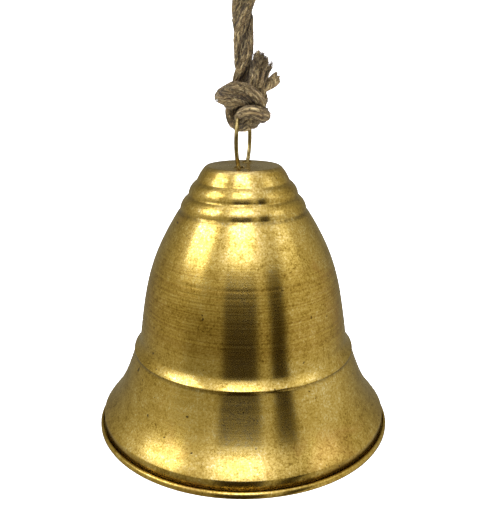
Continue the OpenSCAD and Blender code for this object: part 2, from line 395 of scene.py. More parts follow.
def fibre_piece(name, tubes, ridge, *nodes):
    """A piece of loose tubes on the rope, whose lay coordinates are simply its places seen at a slant."""
    points = tubes[0]
    lay = np.stack([points[:, 0] + points[:, 1], points[:, 2]], -1) / LAY_UNIT
    piece = mesh_piece(name, *tubes, ridge, lay)
    belongs(piece, "rope", "jute_rope", *nodes)
    return piece


YARN_RINGS, YARN_SIDES = 22, 7
TIP_HAIRS, HAIR_RINGS, HAIR_SIDES = 9, 6, 4
GOLDEN_ANGLE = 2.39996


def fray(name, node, ring, outward, cut_at, cut_facing, spread, yarns, seed, root_r=7.2 * MM):
    """A broom of yarns from one of the rope's rings to a slanting cut.
    Yarn n starts at a place on a sunflower spiral in the ring and ends at the same place on the wider cut.
    Each yarn has its own tone, is darker at its tip, and opens there into a few fine hairs."""
    draw = np.random.default_rng(seed)
    n = np.arange(yarns)
    r = np.sqrt((n + 0.5) / yarns)
    disc = across(ring, n * GOLDEN_ANGLE)
    start = ROPE[ring] + root_r * r[:, None] * disc
    facing = unit(np.array(cut_facing, float))
    high = unit(np.array([0, 0, 1]) - facing * facing[2])
    wide = np.cross(facing, high)
    on_cut = (disc @ high)[:, None] * spread[0] * high + (disc @ wide)[:, None] * spread[1] * wide
    end = np.array(cut_at) + r[:, None] * on_cut
    end = end + draw.normal(0, 1.0 * MM, (yarns, 3)) + facing * draw.normal(0, 1.5 * MM, (yarns, 1))
    out = unit(np.array(outward, float))
    length = np.linalg.norm(end - start, axis=1, keepdims=True)
    leave = start + out * length * 0.35 + draw.normal(0, 0.5 * MM, (yarns, 3))
    arrive = end - unit(unit(end - start) + 0.3 * out) * length * 0.3
    lines = bent_lines(start, leave, arrive, end, YARN_RINGS)
    twist = 0.35 * MM * np.sin(np.linspace(0, 9, YARN_RINGS)[None, :] + draw.uniform(0, 6, (yarns, 1)))
    lines = lines + twist[..., None] * unit(np.cross(out, [0.2, 1, 0.1]))
    taper = np.interp(np.linspace(0, 1, YARN_RINGS), [0, 0.1, 0.9, 1], [0.8, 1, 0.95, 0.45])
    radii = draw.uniform(0.95, 1.45, (yarns, 1)) * MM * taper
    thick = many_tubes(lines, radii, YARN_SIDES)

    hairs = yarns * TIP_HAIRS
    tip = np.repeat(end, TIP_HAIRS, 0)
    back = np.repeat(lines[:, -4], TIP_HAIRS, 0)
    way = unit(tip - back)
    splay = unit(way + draw.normal(0, 0.33, (hairs, 3)))
    root = back + draw.normal(0, 0.5 * MM, (hairs, 3))
    reach = draw.uniform(3.0, 6.5, (hairs, 1)) * MM
    hair_end = root + splay * reach
    fine = bent_lines(root, root + way * reach * 0.4, hair_end - splay * reach * 0.2, hair_end, HAIR_RINGS)
    hair_r = np.full((hairs, HAIR_RINGS), 0.24 * MM) * np.linspace(1, 0.5, HAIR_RINGS)
    tubes = join([thick, many_tubes(fine, hair_r, HAIR_SIDES)])

    tone = draw.uniform(0.12, 1.0, yarns)
    ageing = np.interp(np.arange(YARN_RINGS), [0, 16, YARN_RINGS - 1], [1, 1, 0.5])
    yarn_tone = np.outer(tone, np.append(np.repeat(ageing, YARN_SIDES), [1, 0.4]))
    hair_tone = np.repeat(np.repeat(tone, TIP_HAIRS) * 0.75, HAIR_RINGS * HAIR_SIDES + 2)
    patches = 1 + 0.5 * waves(seed, *(tubes[0].T / MM), low=0.3, high=1.4)
    ridge = np.clip(np.append(yarn_tone, hair_tone) * patches, 0, 1)
    return fibre_piece(name, tubes, ridge, node)


ring_broom = fray(
    "ring_broom", "rope_tail", 3, (0.05, -0.12, 1), HOLD + np.array([14.4, -15, 34]) * MM,
    (0.62, -0.5, 0.6), (13 * MM, 10 * MM), 84, 11,
)
loop_broom = fray(
    "loop_broom", "loop_tail", len(ROPE) - 3, (-1, 0.1, 0.4), np.array([-45, 0, -98]) * MM,
    (-0.95, 0, 0.3), (9.5 * MM, 9.5 * MM), 36, 12, 6.5 * MM,
)

# %% A strand that has left the broom, and fibres standing out all over
def side_tuft(start, end, yarns, seed):
    """A loose strand beside the broom: a circle of yarns round a middle one, along one bent line."""
    draw = np.random.default_rng(seed)
    n = np.arange(yarns)
    a = n * 2 * np.pi / (yarns - 1)
    r = np.where(n == yarns - 1, 0, 3.0) * MM
    way = unit(end - start)
    side = unit(np.cross(way, [0, 1, 0]))
    over = np.cross(way, side)
    place = r[:, None] * (np.cos(a)[:, None] * side + np.sin(a)[:, None] * over)
    begin = start + place * 0.6
    finish = end + place * 1.25 + way * draw.normal(0, 0.7 * MM, (yarns, 1))
    lift = np.array([0, 0, -2.2 * MM])
    lines = bent_lines(begin, begin + way * 7 * MM + lift, finish - way * 7 * MM + lift, finish, 18)
    radii = 1.45 * MM * np.interp(np.linspace(0, 1, 18), [0, 0.85, 1], [1, 1, 0.55])
    return many_tubes(lines, np.broadcast_to(radii, (yarns, 18)), 8)


def stray_fibres(first, last, count, seed, longest):
    """Short bent fibres that leave the rope at random rings, in random directions round it."""
    draw = np.random.default_rng(seed)
    ring = draw.integers(first, last, count)
    out = across(ring, draw.uniform(0, 2 * np.pi, count))
    along = unit(ROPE[ring + 1] - ROPE[ring]) * draw.choice([-1, 1], (count, 1))
    start = ROPE[ring] + out * ROPE_D * 0.43
    reach = draw.uniform(0.25, 1, (count, 1)) ** 2 * longest
    end = start + out * reach * draw.uniform(0.15, 0.7, (count, 1)) + along * reach
    end = end + draw.normal(0, 0.25, (count, 3)) * reach
    lines = bent_lines(start, start + along * reach * 0.5, end - out * reach * 0.3, end, 6)
    radii = draw.uniform(0.07, 0.14, (count, 1)) * MM * np.linspace(1, 0.5, 6)
    return many_tubes(lines, radii, 3)


def lying_fibres(first, last, count, seed):
    """Fibres that lie along the outside of the strands, each a little loose in its middle.
    Each follows one strand for a dozen rings or so, drifting round it a little as it goes."""
    draw = np.random.default_rng(seed)
    start = draw.integers(first + 1, last - 24, count)
    length = draw.integers(8, 23, count)
    t = np.linspace(0, 1, 7)
    ring = (start[:, None] + length[:, None] * t).astype(int)
    round_it = draw.uniform(-2.0, 2.0, (count, 1)) + draw.normal(0, 0.5, (count, 1)) * t
    lift = 1.03 + draw.uniform(0.0, 0.14, (count, 1)) * np.sin(np.pi * t) - 0.12 * np.abs(2 * t - 1) ** 3
    lines = np.zeros((count, 7, 3))
    which = draw.integers(0, 3, count)
    for k in range(3):
        own = which == k
        reach = (STRAND_R * thickness(ring[own]) * lift[own])[..., None]
        turn = strand_turn(k, ring[own]) + round_it[own]
        lines[own] = strand_middle(k, ring[own]) + reach * across(ring[own], turn)
    radii = draw.uniform(0.16, 0.42, (count, 1)) * MM * np.array([0.4, 0.9, 1, 1, 1, 0.9, 0.4])
    return many_tubes(lines, radii, 3)


tuft_start = HOLD + np.array([11, -10, 12.5]) * MM
tuft_end = HOLD + np.array([28.5, -9, 23.5]) * MM
fluff = join([
    side_tuft(tuft_start, tuft_end, 13, 21),
    stray_fibres(2, KNOT_TOP, 260, 31, 6 * MM),
    stray_fibres(KNOT_TOP, len(ROPE) - 3, 420, 32, 8 * MM),
    lying_fibres(2, KNOT_TOP, 1100, 33),
    lying_fibres(KNOT_TOP, len(ROPE) - 3, 1900, 34),
])
fluff_tone = 0.62 + 0.9 * waves(5, *(fluff[0].T / MM), count=7, low=0.3, high=1.2)
rope_fluff = fibre_piece("rope_fluff", fluff, np.clip(fluff_tone, 0.12, 1))

# %% [markdown]
# ## The spun shell
#
# A spun bell is pressed from a flat disc over a turning form, so it is round about one line, but never
# quite: the roller leaves fine rings, and the thin sheet waves a little. The shell is a profile turned about
# the axis. The same profile, moved in by the sheet's thickness, makes the inside, so the rim and the rolled
# edge show a true thickness from below.

# %% The profile, from the crown's edge to the cut end of the rolled edge
BELL_H = 240 * MM
SHEET = 1.2 * MM
CROWN_PLATE_R = 30 * MM
ROLL_ROWS = 26


def bezier(a, b, h1, h2, steps):
    """A cubic from a to b. The handles h1 and h2 are shares of the way across and down."""
    a, b = np.array([a]), np.array([b])
    return bent_lines(a, a + (b - a) * h1, a + (b - a) * h2, b, steps)[0]


def bulged(a, b, high, steps):
    """From a to b along a parabola that stands out by high at its middle."""
    t = np.linspace(0, 1, steps)[:, None]
    a, b = np.array(a), np.array(b)
    way = unit(b - a)
    return a + (b - a) * t + np.array([-way[1], way[0]]) * high * 4 * t * (1 - t)


def arc(middle, r, start, end, steps):
    """Points on a circle between two angles in degrees."""
    a = np.radians(np.linspace(start, end, steps))
    return np.array(middle) + r * np.stack([np.cos(a), np.sin(a)], -1)


def shell_line():
    """The outer face in millimetres above the mouth: crown edge, three rounded steps, barrel, waist bead,
    skirt, lip wall and rolled edge."""
    crown_edge = np.array([33.0, 240.0])
    groove = np.array([55.5, 202.0])
    step = (groove - crown_edge) / 3
    bead_low = np.array([100.6, 75.2])
    bead_edge = bead_low + [-0.9, 1.5]
    bead_top = bead_low + [-5.4, 8.6]
    lip = np.array([131.0, 14.6])
    parts = [np.array([[CROWN_PLATE_R, BELL_H]]) / MM, arc(crown_edge + [-2, -2], 2, 85, 40, 5)]
    for k in range(3):
        start = crown_edge + step * k + ([0.6, -1.4] if k == 0 else [0.4, -0.4])
        parts.append(bulged(start, crown_edge + step * (k + 1), 0.6 if k == 0 else 1.8, 10))
    parts.append(bezier(groove + [1.9, -1.8], bead_top + [-0.6, 2], [0.74, 0.37], [0.82, 0.6], 150))
    parts.append(bulged(bead_top, bead_edge, -0.3, 12))
    parts.append(bulged(bead_edge, bead_low + [0, -0.3], 0.35, 6)[1:])
    parts.append(bezier(bead_low + [-0.8, -0.6], lip, [0.45, 0.74], [0.74, 0.8], 56))
    parts.append(np.array([lip + [0, -1], lip + [0, -6.8]]))
    parts.append(arc([131.3, 3.7], 2.5, 115, 436, ROLL_ROWS))
    return np.concatenate(parts)


def beside(line, d):
    """The line moved sideways by d, along the mean of the two neighbouring segments' sides."""
    seg = unit(np.diff(line, axis=0))
    side = np.stack([-seg[:, 1], seg[:, 0]], -1)
    before = np.concatenate([side[:1], side])
    after = np.concatenate([side, side[-1:]])
    way = unit(before + after)
    return line + way * (d / np.maximum(0.6, (way * before).sum(1)))[:, None]


outline = shell_line()
print("profile points:", len(outline))

# %% Ring marks left by the roller, and the sheet's slight unevenness
SPIN_MARKS = [
    (153, 0.11), (147, 0.09), (141, 0.04), (134, 0.05), (127, 0.06), (121.5, 0.04), (116, 0.07), (111, 0.12),
    (105, 0.06), (100, 0.07), (95.5, 0.05), (68, 0.10), (59, 0.08),
]


def with_spin_marks(line):
    """Moves the line in at each mark, by a small bell curve one millimetre wide."""
    depth = sum(d * np.exp(-((line[:, 1] - z) / 0.9) ** 2) for z, d in SPIN_MARKS)
    moved = line.copy()
    moved[:, 0] -= np.where(line[:, 0] > 58, depth, 0)
    return moved


TURNS = 240
outer = with_spin_marks(outline) * MM
inner = beside(outline, -SHEET / MM) * MM
inner[0] = [CROWN_PLATE_R, BELL_H - SHEET]
roll = len(inner) - ROLL_ROWS
kept_rows = np.concatenate([[0], np.arange(4, roll - 1, 4), np.arange(roll, len(inner), 2)])
wall = np.concatenate([outer, inner[kept_rows][::-1]])
a = np.linspace(0, 2 * np.pi, TURNS, endpoint=False)[None, :]
r, z = wall[:, :1], wall[:, 1:]
uneven = waves(3, 2 * np.sin(a), 2 * np.cos(a), z / 0.03, count=6, low=0.7, high=1.8)
dents = waves(8, 6 * np.sin(a), 6 * np.cos(a), z / 0.012, count=9, low=0.8, high=2.0)
free = np.clip((r - 0.045) / 0.02, 0, 1) * np.clip(z / 0.03, 0, 1)
r_here = r + free * (0.22 * MM * uneven + 0.07 * MM * dents)
lathe = np.stack([r_here * np.cos(a), r_here * np.sin(a), z + MOUTH_Z + 0 * a], -1)
shell_parts = [(lathe.reshape(-1, 3), ring_faces(len(wall), TURNS), NO_TRIS)]
print("shell wall:", len(wall), "rows of", TURNS, "faces")

# %% [markdown]
# ## The crown with its two punched holes
#
# The ring goes through two rough slots that were punched up through the flat crown, and the sheet stands
# up round them in a torn burr. A hole cut with a Boolean would leave long thin faces. Instead each half of
# the crown is a grid: its inner edge is the slot, its outer edge is half of the crown's rim, and in between
# the sheet rises towards the slot.

# %% The crown
CROWN_TOP = MOUTH_Z + BELL_H
BURR_H = shell_high.z - CROWN_TOP
HOLE_X = 16.2 * MM
HOLE_W = 7.7 * MM
HOLE_L = 11.6 * MM


def slot_edge(angle):
    """How far a slot with round ends reaches from its middle in a direction: beside the straight part it is
    half the slot's width away, and past it it is a circle about the end's middle."""
    straight = (HOLE_L - HOLE_W) / 2
    c, s = np.abs(np.cos(angle)), np.abs(np.sin(angle))
    beside_it = HOLE_W / 2 / np.maximum(s, 1e-6)
    end = straight * c + np.sqrt(np.maximum((HOLE_W / 2) ** 2 - (straight * s) ** 2, 0))
    return np.where(beside_it * c < straight, beside_it, end)


def half_crown(way, top):
    """A grid from a slot to the edge of its half of the crown, and the slot's own edge.
    The edge of the half is the rim's own points and a straight line of points across the middle."""
    rim_angle = np.linspace(-np.pi / 2, np.pi / 2, TURNS // 2 + 1)
    rim = CROWN_PLATE_R * np.stack([np.cos(rim_angle), np.sin(rim_angle)], -1)
    across = np.linspace(CROWN_PLATE_R, -CROWN_PLATE_R, 62)[1:-1]
    edge = np.concatenate([rim, np.stack([0 * across, across], -1)])
    from_hole = edge - [HOLE_X, 0]
    angle = np.arctan2(from_hole[:, 1], from_hole[:, 0])
    reach = slot_edge(angle)
    torn = 1 + 0.35 * waves(90 + way, 3 * np.sin(angle), 3 * np.cos(angle), count=6, low=1.5, high=5)
    start = np.stack([np.cos(angle), np.sin(angle)], -1) * reach[:, None]
    t = (np.linspace(0, 1, 15) ** 1.9)[:, None, None]
    flat = start * (1 - t) + from_hole * t
    gap = np.linalg.norm(flat, axis=-1) - reach
    rise = BURR_H * torn * np.exp(-((gap / (1.0 * MM)) ** 1.2))
    flat = flat * way + [HOLE_X * way, 0]
    z = CROWN_TOP + (rise if top else rise * 0.9 - SHEET * (1 - 0.5 * np.exp(-gap / (0.7 * MM))))
    c, s = math.cos(RING_TURN), math.sin(RING_TURN)
    return np.stack([flat[..., 0] * c - flat[..., 1] * s, flat[..., 0] * s + flat[..., 1] * c, z], -1)


for way in (1, -1):
    grid = np.concatenate([half_crown(way, True)[::-1], half_crown(way, False)])
    shell_parts.append((grid.reshape(-1, 3), ring_faces(*grid.shape[:2]), NO_TRIS))
bell = mesh_piece("spun_shell", *join(shell_parts))

import bmesh

work = bmesh.new()
work.from_mesh(bell.data)
bmesh.ops.remove_doubles(work, verts=work.verts, dist=0.03 * MM)
bmesh.ops.recalc_face_normals(work, faces=work.faces)
open_edges = sum(1 for e in work.edges if not e.is_manifold)
work.to_mesh(bell.data)
work.free()
belongs(bell, "bell", "antique_gold_sheet", "bell_shell")
print("open edges in the shell:", open_edges)

# %% [markdown]
# ## The ring, the link and the clapper
#
# The ring and the link are bent wire, so each is a circle carried along a closed line. A real ring is bent
# by hand and is never quite flat or round, and a tiny wave along it is enough for its highlight to break
# up. The clapper's rod ends in an open eye, a cast ball is threaded on it, and a crimped collar holds the
# ball up.

# %% Wires
def wire(name, line, wire_r, body, slot, node, closed, sides, seed=1):
    """A round wire along a line. The section keeps its radius but for a slight random waviness."""
    if closed:
        along = unit(np.roll(line, -1, 0) - np.roll(line, 1, 0))
    else:
        along = unit(np.gradient(line, axis=0))
    plane = unit(np.cross(line[len(line) // 3] - line[0], line[2 * len(line) // 3] - line[0]))
    side = unit(np.cross(along, plane))
    a = np.linspace(0, 2 * np.pi, sides, endpoint=False)
    n = np.linspace(0, 2 * np.pi, len(line), endpoint=False)
    r = wire_r * (1 + 0.012 * waves(seed, 8 * np.sin(n), 8 * np.cos(n), low=0.6, high=1.6))[:, None]
    rings = line[:, None] + r[..., None] * (
        np.cos(a)[None, :, None] * side[:, None] + np.sin(a)[None, :, None] * plane
    )
    if closed:
        piece = mesh_piece(name, rings, ring_faces(len(line), sides, closed=True))
    else:
        piece = mesh_piece(name, *skin(rings))
    belongs(piece, body, slot, node)
    return piece


def in_ring_plane(across, up, turn=RING_TURN):
    """Points from a distance along the ring's plane and a height."""
    across = np.asarray(across, float)
    return np.stack([across * math.cos(turn), across * math.sin(turn), np.asarray(up, float)], -1)


n = np.linspace(0, 2 * np.pi, 260, endpoint=False)
bent_r = RING_R + 0.06 * MM * waves(2, np.sin(n) * 2, np.cos(n) * 2, low=0.8, high=2)
ring_line = in_ring_plane(bent_r * np.sin(n), RING_MID[2] + bent_r * np.cos(n))
ring = wire("wire_ring", ring_line, RING_WIRE / 2, "ring", "ring_wire", "hanging_ring", True, 28)

link_low, link_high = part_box("clapper_link")
LINK_WIRE = 2.2 * MM
LINK_PLAY = 0.3 * MM
link_half = (link_high.z - link_low.z - LINK_WIRE) / 2
bend_r = RING_WIRE / 2 + LINK_PLAY + LINK_WIRE / 2
link_mid = (link_high.z + link_low.z) / 2
t = np.linspace(0, 2 * np.pi, 160, endpoint=False)
straight = link_half - bend_r
link_up = link_mid + bend_r * np.sin(t) + straight * np.tanh(6 * np.sin(t))
link_line = in_ring_plane(bend_r * np.cos(t), link_up, RING_TURN + np.pi / 2)
link = wire("wire_link", link_line, LINK_WIRE / 2, "link", "clapper_wire", "clapper_link", True, 18, 4)

# %% The rod with its open eye
rod_low, rod_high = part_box("clapper_rod")
ROD_R = 1.5 * MM
EYE_R = 4.2 * MM
eye_mid = rod_high.z - ROD_R - EYE_R
shank = np.linspace(rod_low.z, eye_mid - EYE_R - 2 * MM, 60)
round_eye = np.radians(np.linspace(-90, 235, 70))
eye_x = EYE_R * np.cos(round_eye)
eye_z = eye_mid + EYE_R * np.sin(round_eye)
rod_line = np.concatenate([in_ring_plane(0 * shank, shank), in_ring_plane(eye_x, eye_z)])
rod = wire("clapper_eye_rod", rod_line, ROD_R, "clapper", "clapper_wire", "clapper_rod", False, 18, 6)

# %% Turned pieces: the ball and the collar
def turned(name, profile, turns, body, slot, node, rough, seed):
    """A closed profile of (radius, height) points turned about the upright axis. Outside the bore, random
    lumps as high as rough move it in and out."""
    a = np.linspace(0, 2 * np.pi, turns, endpoint=False)[None, :]
    r, z = profile[:, :1], profile[:, 1:]
    lumps = waves(seed, 3 * np.sin(a), 3 * np.cos(a), z / (5 * MM), count=7, low=0.8, high=2.5)
    r = np.where(r > 2.2 * MM, r + rough * lumps, r)
    rings = np.stack([r * np.cos(a), r * np.sin(a), z + 0 * a], -1)
    piece = mesh_piece(name, rings, ring_faces(len(profile), turns, closed=True))
    belongs(piece, body, slot, node)
    return piece


BORE_R = 1.56 * MM
SKIN_IN = 0.3 * MM
ball_low, ball_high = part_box("clapper_ball")
BALL_R = (ball_high.x - ball_low.x) / 2
ball_mid = ball_high.z - BALL_R * math.cos(math.asin(1.55 * MM / BALL_R))
lat = np.radians(np.linspace(85.0, -77.0, 90))
seam = 0.28 * MM * np.exp(-((lat - 0.02) / 0.03) ** 2)
body_r = BALL_R - SKIN_IN
ball_out = np.stack([(body_r + seam) * np.cos(lat), ball_mid + body_r * np.sin(lat)], -1)
bore_z = np.linspace(ball_out[-1, 1] + 0.2 * MM, ball_out[0, 1] - 0.2 * MM, 12)
ball_line = np.concatenate([ball_out, np.stack([np.full(12, BORE_R), bore_z], -1)])
ball = turned("cast_ball", ball_line, 128, "clapper", "clapper_iron", "clapper_ball", 0.12 * MM, 9)

COLLAR_BORE_R = 1.52 * MM
CORNER = 0.5 * MM
collar_low, collar_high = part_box("clapper_collar")
COLLAR_R = (collar_high.x - collar_low.x) / 2
CRIMP_R = COLLAR_R - 0.35 * MM
h = collar_high.z - collar_low.z
collar_side = np.array([
    [COLLAR_BORE_R, 0], [COLLAR_R - CORNER, 0], [COLLAR_R, CORNER], [CRIMP_R, h * 0.35],
    [CRIMP_R, h * 0.65], [COLLAR_R, h - CORNER], [COLLAR_R - CORNER, h], [COLLAR_BORE_R, h],
]) + [0, collar_low.z]
collar = turned("crimped_collar", collar_side[::-1], 64, "clapper", "clapper_wire", "clapper_collar", 0.0, 3)

# %% [markdown]
# ## Finishes
#
# A finish is a small recipe of nodes. Nearly all start from the same three steps: a noise pattern on the
# object's own coordinates, a ramp that turns it into colours, and a bump that turns it into relief. These
# helpers keep the recipes short, and the room's light uses the same ones.

# %% Node helpers
class Graph:
    """A node tree that values are fed into. A value is another node's output or a plain number or colour."""

    def __init__(self, tree):
        self.nodes, self.links = tree.nodes, tree.links

    def plug(self, socket, value):
        if isinstance(value, bpy.types.NodeSocket):
            self.links.new(value, socket)
        elif socket.type == "RGBA":
            socket.default_value = (*value, 1)
        else:
            socket.default_value = value

    def feed(self, node, **inputs):
        for name, value in inputs.items():
            self.plug(node.inputs[name.replace("_", " ")], value)
        return node

    def node(self, kind, **inputs):
        return self.feed(self.nodes.new("ShaderNode" + kind), **inputs)

    def math(self, operation, *values):
        node = self.node("Math")
        node.operation = operation
        for socket, value in zip(node.inputs, values):
            self.plug(socket, value)
        return node.outputs[0]

    def plus(self, first, *others):
        for other in others:
            first = self.math("ADD", first, other)
        return first

    def times(self, first, *others):
        for other in others:
            first = self.math("MULTIPLY", first, other)
        return first

    def mix(self, factor, a, b, blend="MIX"):
        node = self.node("Mix")
        node.data_type = "RGBA"
        node.blend_type = blend
        for index, value in ((0, factor), (6, a), (7, b)):
            self.plug(node.inputs[index], value)
        return node.outputs[2]


class Recipe(Graph):
    """A material, with the patterns that the finishes are made of."""

    def __init__(self, name):
        self.material = bpy.data.materials.new(name)
        self.material.use_nodes = True
        super().__init__(self.material.node_tree)
        self.where = self.node("TexCoord").outputs["Object"]

    def stretched(self, vector, scale):
        return self.node("Mapping", Vector=vector, Scale=scale).outputs["Vector"]

    def noise(self, scale, detail, roughness, vector=None, distortion=0.0):
        where = self.where if vector is None else vector
        node = self.node("TexNoise", Vector=where, Scale=scale, Detail=detail, Roughness=roughness)
        return self.feed(node, Distortion=distortion).outputs["Fac"]

    def ramp(self, value, stops):
        """Each stop is a place and a colour, or a place and one grey value."""
        node = self.node("ValToRGB", Fac=value)
        elements = node.color_ramp.elements
        while len(elements) < len(stops):
            elements.new(0.5)
        for element, (place, colour) in zip(elements, stops):
            element.position = place
            element.color = (*colour, 1) if hasattr(colour, "__len__") else (colour, colour, colour, 1)
        return node.outputs["Color"]

    def round_the_axis(self):
        """The direction round the upright axis, in which the roller left its fine lines."""
        x, y, _ = self.node("SeparateXYZ", Vector=self.where).outputs
        turned_way = self.node("CombineXYZ", X=self.times(y, -1.0), Y=x)
        to_world = self.node("VectorTransform", Vector=turned_way.outputs[0])
        to_world.convert_from, to_world.convert_to = "OBJECT", "WORLD"
        return to_world.outputs[0]

    def bump(self, value, strength, distance, under=None):
        node = self.node("Bump", Height=value, Strength=strength, Distance=distance)
        if under is not None:
            self.feed(node, Normal=under)
        return node.outputs["Normal"]

    def finish(self, **inputs):
        self.feed(self.nodes["Principled BSDF"], **inputs)
        return self.material


def dress(piece, material):
    """Gives a piece its one finish."""
    piece.data.materials.clear()
    piece.data.materials.append(material)


print("recipe helpers ready")

# %% [markdown]
# ## Antiqued gold sheet
#
# The sheet is coated in a warm gold that was dulled by hand: pale champagne where it was rubbed, brown
# where the dark wash stayed, with a fine grain all over and rings from spinning. Gold-coloured metal takes
# its colour from the base colour and its life from uneven roughness, so the same mottle drives both.

# %% Antiqued gold
def antique_gold():
    r = Recipe("antique_gold_sheet")
    cloud = r.noise(19, 5, 0.6, distortion=0.3)
    mottle = r.noise(110, 6, 0.7, distortion=0.3)
    grain = r.noise(560, 5, 0.8)
    rings = r.noise(1.0, 3, 0.6, r.stretched(r.where, (5, 5, 800)))
    broad_rings = r.noise(1.0, 2, 0.5, r.stretched(r.where, (3, 3, 170)))
    mixed = r.plus(r.times(cloud, 0.18), r.times(mottle, 0.26), r.times(grain, 0.56))
    gold = r.ramp(mixed, [
        (0.36, (0.13, 0.075, 0.012)), (0.43, (0.40, 0.265, 0.046)), (0.49, (0.61, 0.435, 0.098)),
        (0.56, (0.76, 0.58, 0.19)), (0.62, (0.97, 0.87, 0.50)),
    ])

    # Ramps over the height above the mouth: 0 to 1 is a quarter of a metre, and 100 mm for low_down.
    up = r.math("SUBTRACT", r.node("SeparateXYZ", Vector=r.where).outputs["Z"], MOUTH_Z)
    quarters = r.times(up, 4.0)
    spun = r.ramp(quarters, [(0.20, 0.25), (0.36, 0.3), (0.42, 1.0), (0.62, 1.0), (0.70, 0.25), (0.9, 0.3)])
    low_down = r.ramp(r.times(up, 10.0), [(0.0, 1.0), (0.75, 0.25)])
    on_crown = r.ramp(quarters, [(0.945, 0.0), (0.962, 1.0)])
    # The grooves mask marks the lip wall, the skirt just under the waist bead and the grooves between the
    # shoulder steps.
    grooves = r.ramp(quarters, [
        (0.03, 0.0), (0.035, 0.9), (0.048, 0.35), (0.062, 0.0), (0.284, 0.0), (0.294, 0.6), (0.302, 0.0),
        (0.795, 0.0), (0.806, 0.9), (0.816, 0.0), (0.853, 0.0), (0.858, 0.5), (0.866, 0.0), (0.908, 0.3),
        (0.914, 0.0),
    ])

    lines = r.ramp(rings, [(0.36, (0.55, 0.42, 0.20)), (0.60, (1, 0.97, 0.85))])
    gold = r.mix(r.times(spun, 0.6), gold, lines, "MULTIPLY")
    speck = r.ramp(r.noise(420, 4, 0.75), [(0.60, 0.0), (0.68, 1.0)])
    speck = r.times(speck, r.times(low_down, r.ramp(cloud, [(0.4, 0.2), (0.6, 1.0)])))
    gold = r.mix(r.times(speck, 0.6), gold, (0.085, 0.050, 0.014))
    pits = r.ramp(r.noise(170, 2, 0.5), [(0.725, 0.0), (0.75, 1.0)])
    gold = r.mix(r.times(pits, 0.8), gold, (0.05, 0.03, 0.012))
    copper = r.ramp(r.noise(17, 4, 0.6, distortion=0.5), [(0.57, 0.0), (0.70, 0.25)])
    gold = r.mix(copper, gold, (0.60, 0.30, 0.10))
    # Painted reflection: the crown gets a darker, greyer gold that stands in for the dark it mirrors.
    crown = r.ramp(mixed, [(0.36, (0.22, 0.15, 0.055)), (0.6, (0.60, 0.47, 0.22))])
    gold = r.mix(r.times(on_crown, 0.8), gold, crown)
    # Painted shade: these grooves and the lip wall are darkened as if shaded, broken up by grainy dirt.
    groove_shade_and_dirt = r.times(grooves, r.ramp(r.noise(260, 5, 0.75), [(0.40, 0.35), (0.58, 1.0)]))
    gold = r.mix(r.times(groove_shade_and_dirt, 0.8), gold, (0.070, 0.042, 0.013))

    rough = r.ramp(mixed, [(0.40, 0.29), (0.60, 0.165)])
    n = r.bump(broad_rings, 0.08, 0.0010, r.bump(rings, 0.10, 0.0004))
    n = r.bump(grain, 0.07, 0.0003, r.bump(mottle, 0.03, 0.0010, n))
    return r.finish(
        Base_Color=gold, Roughness=rough, Normal=n, Tangent=r.round_the_axis(), Metallic=1.0,
        Anisotropic=0.75, Anisotropic_Rotation=0.25,
    )


dress(bell, antique_gold())

# %% [markdown]
# ## Wire, steel and iron
#
# The ring is the same gold as the sheet but smoother, with darker smears where it was handled. The link and
# rod are drawn steel with fine lines along them, and the ball is a small rough casting with rust in its pits.

# %% Wires and iron
def ring_brass():
    r = Recipe("ring_wire")
    smear = r.noise(120, 5, 0.65, distortion=0.5)
    grain = r.noise(900, 4, 0.7)
    colour = r.ramp(smear, [
        (0.34, (0.085, 0.058, 0.02)), (0.50, (0.31, 0.235, 0.085)), (0.66, (0.70, 0.59, 0.29)),
    ])
    rough = r.ramp(smear, [(0.35, 0.42), (0.65, 0.2)])
    n = r.bump(grain, 0.1, 0.0003, r.bump(smear, 0.1, 0.0006))
    return r.finish(Base_Color=colour, Roughness=rough, Normal=n, Metallic=1.0)


def drawn_steel():
    r = Recipe("clapper_wire")
    lines = r.noise(1.0, 4, 0.7, r.stretched(r.where, (2600, 2600, 60)))
    stain = r.noise(180, 5, 0.65)
    colour = r.ramp(stain, [
        (0.35, (0.10, 0.075, 0.05)), (0.5, (0.30, 0.28, 0.25)), (0.68, (0.52, 0.51, 0.48)),
    ])
    rough = r.ramp(stain, [(0.35, 0.55), (0.65, 0.28)])
    n = r.bump(lines, 0.16, 0.0002, r.bump(stain, 0.12, 0.0005))
    return r.finish(Base_Color=colour, Roughness=rough, Normal=n, Metallic=1.0)


def cast_iron():
    r = Recipe("clapper_iron")
    skin_grain = r.noise(420, 6, 0.7)
    pits = r.node("TexVoronoi", Vector=r.where, Scale=260).outputs["Distance"]
    stain = r.noise(75, 6, 0.65, distortion=0.6)
    colour = r.ramp(stain, [
        (0.36, (0.020, 0.018, 0.017)), (0.52, (0.060, 0.052, 0.046)), (0.66, (0.15, 0.075, 0.035)),
    ])
    colour = r.mix(r.ramp(pits, [(0.05, 0.7), (0.28, 0.0)]), colour, (0.10, 0.038, 0.014))
    rough = r.ramp(skin_grain, [(0.35, 0.75), (0.65, 0.48)])
    n = r.bump(pits, 0.3, 0.0010, r.bump(skin_grain, 0.35, 0.0008))
    return r.finish(Base_Color=colour, Roughness=rough, Normal=n, Metallic=0.75)


steel = drawn_steel()
dress(ring, ring_brass())
dress(link, steel)
dress(rod, steel)
dress(collar, steel)
dress(ball, cast_iron())
